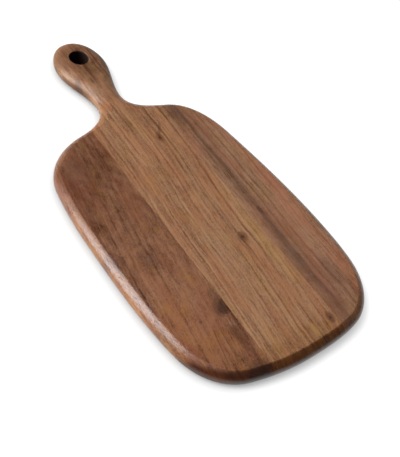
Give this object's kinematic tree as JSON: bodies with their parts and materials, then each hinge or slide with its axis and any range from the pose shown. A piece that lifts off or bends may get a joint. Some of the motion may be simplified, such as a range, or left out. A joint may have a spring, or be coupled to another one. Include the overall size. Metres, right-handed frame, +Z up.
{
  "type": "paddle charcuterie board",
  "caption": "Paddle-shaped wooden serving board of edge-glued staves with rounded edges, a waisted handle and a hanging hole.",
  "frame": {"origin": "middle of the board's bounding box, on the plane of its underside", "axes": "+Y along the grain from the end to the handle's tip, +X to the right seen from above, +Z up through the thickness"},
  "size_m": [0.238, 0.47, 0.019],
  "materials": {
    "dark_walnut": "oiled, satin",
    "light_walnut": "oiled, satin",
    "streaked_walnut": "oiled, satin"
  },
  "bodies": {
    "root": {"left_stave": "dark_walnut", "centre_stave": "light_walnut", "right_stave": "streaked_walnut"}
  },
  "joints": []
}
